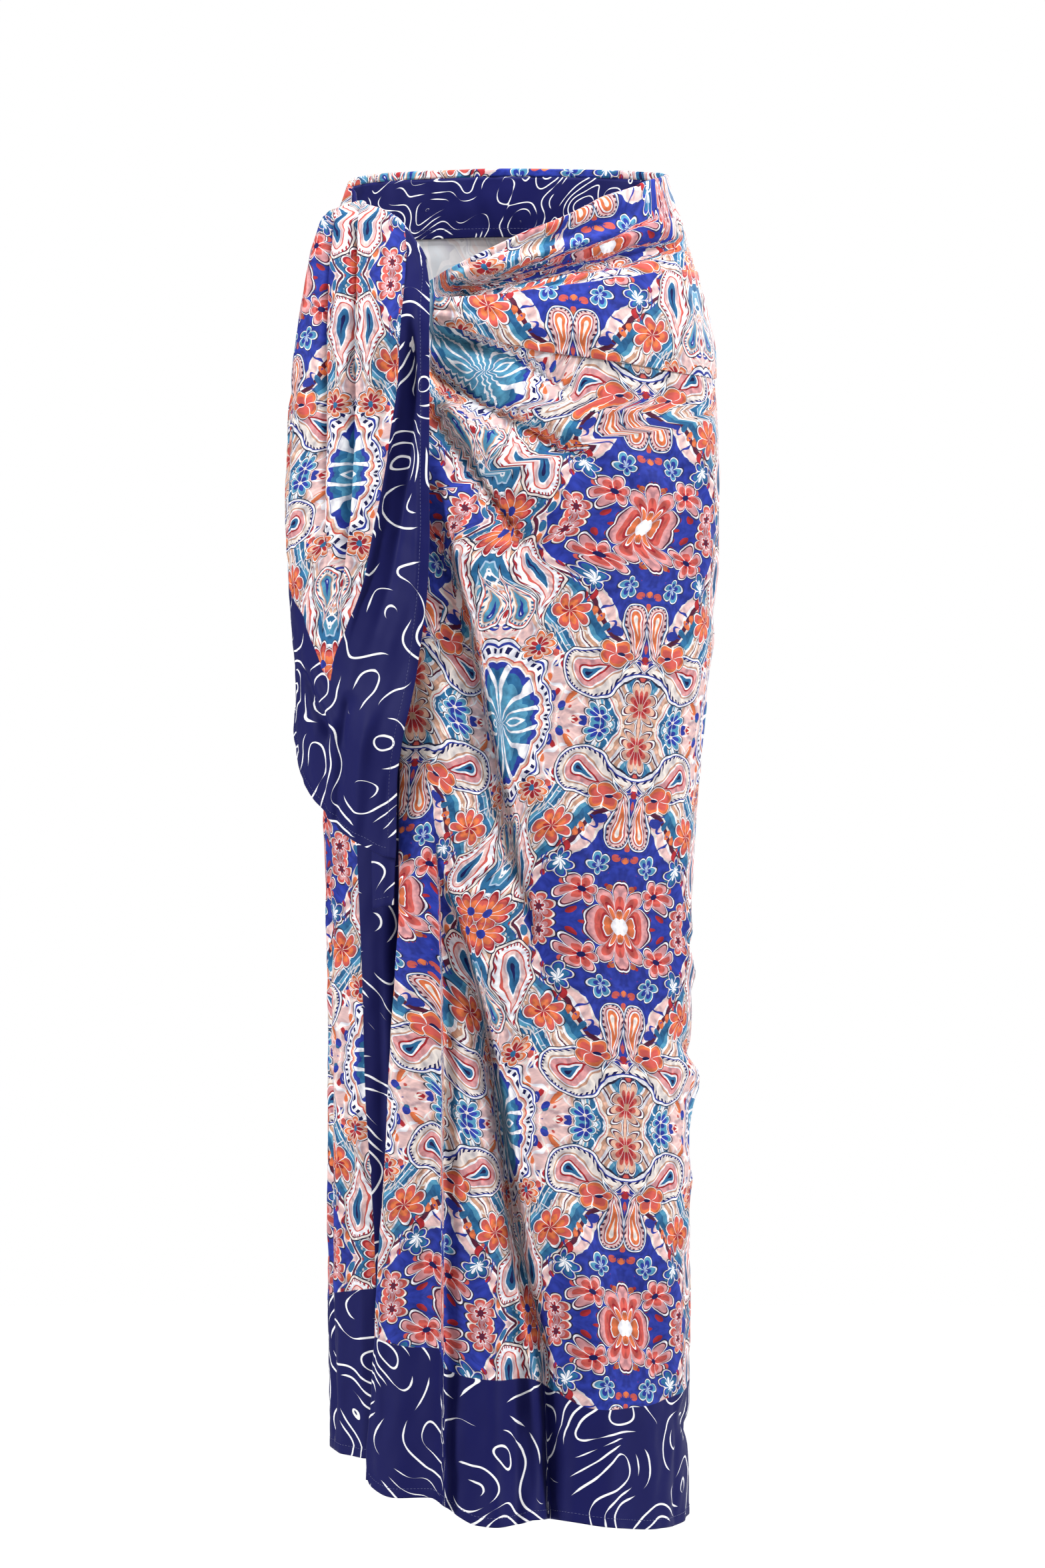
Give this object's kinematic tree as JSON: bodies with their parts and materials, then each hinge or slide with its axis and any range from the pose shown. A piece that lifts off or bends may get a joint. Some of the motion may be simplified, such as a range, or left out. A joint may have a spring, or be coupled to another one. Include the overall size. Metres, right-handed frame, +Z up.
{
  "type": "sarong",
  "caption": "Full-length printed wrap sarong with a dark border, wound round the hips, gathered across the front and knotted at one hip with a long falling tail.",
  "frame": {"origin": "middle of the waist, level with the top edge, where the wearer holds it up", "axes": "+Z up out of the waist, +X to the side away from the knot, -Y to the front"},
  "size_m": [0.3344, 0.2345, 1.0496],
  "materials": {
    "printed_cloth": "smooth light drape weave, printed in coral, cream and blue, soft sheen",
    "border_cloth": "smooth light drape weave, deep blue ground with fine pale lines, soft sheen"
  },
  "bodies": {
    "root": {"front_skirt": "printed_cloth", "front_hip": "printed_cloth", "back_skirt": "printed_cloth", "back_hip": "printed_cloth", "under_skirt": "printed_cloth", "under_hip": "printed_cloth", "waist_foldover": "border_cloth", "hip_band": "printed_cloth", "knot": "printed_cloth", "large_tail": "printed_cloth", "small_tail": "border_cloth"}
  },
  "joints": []
}
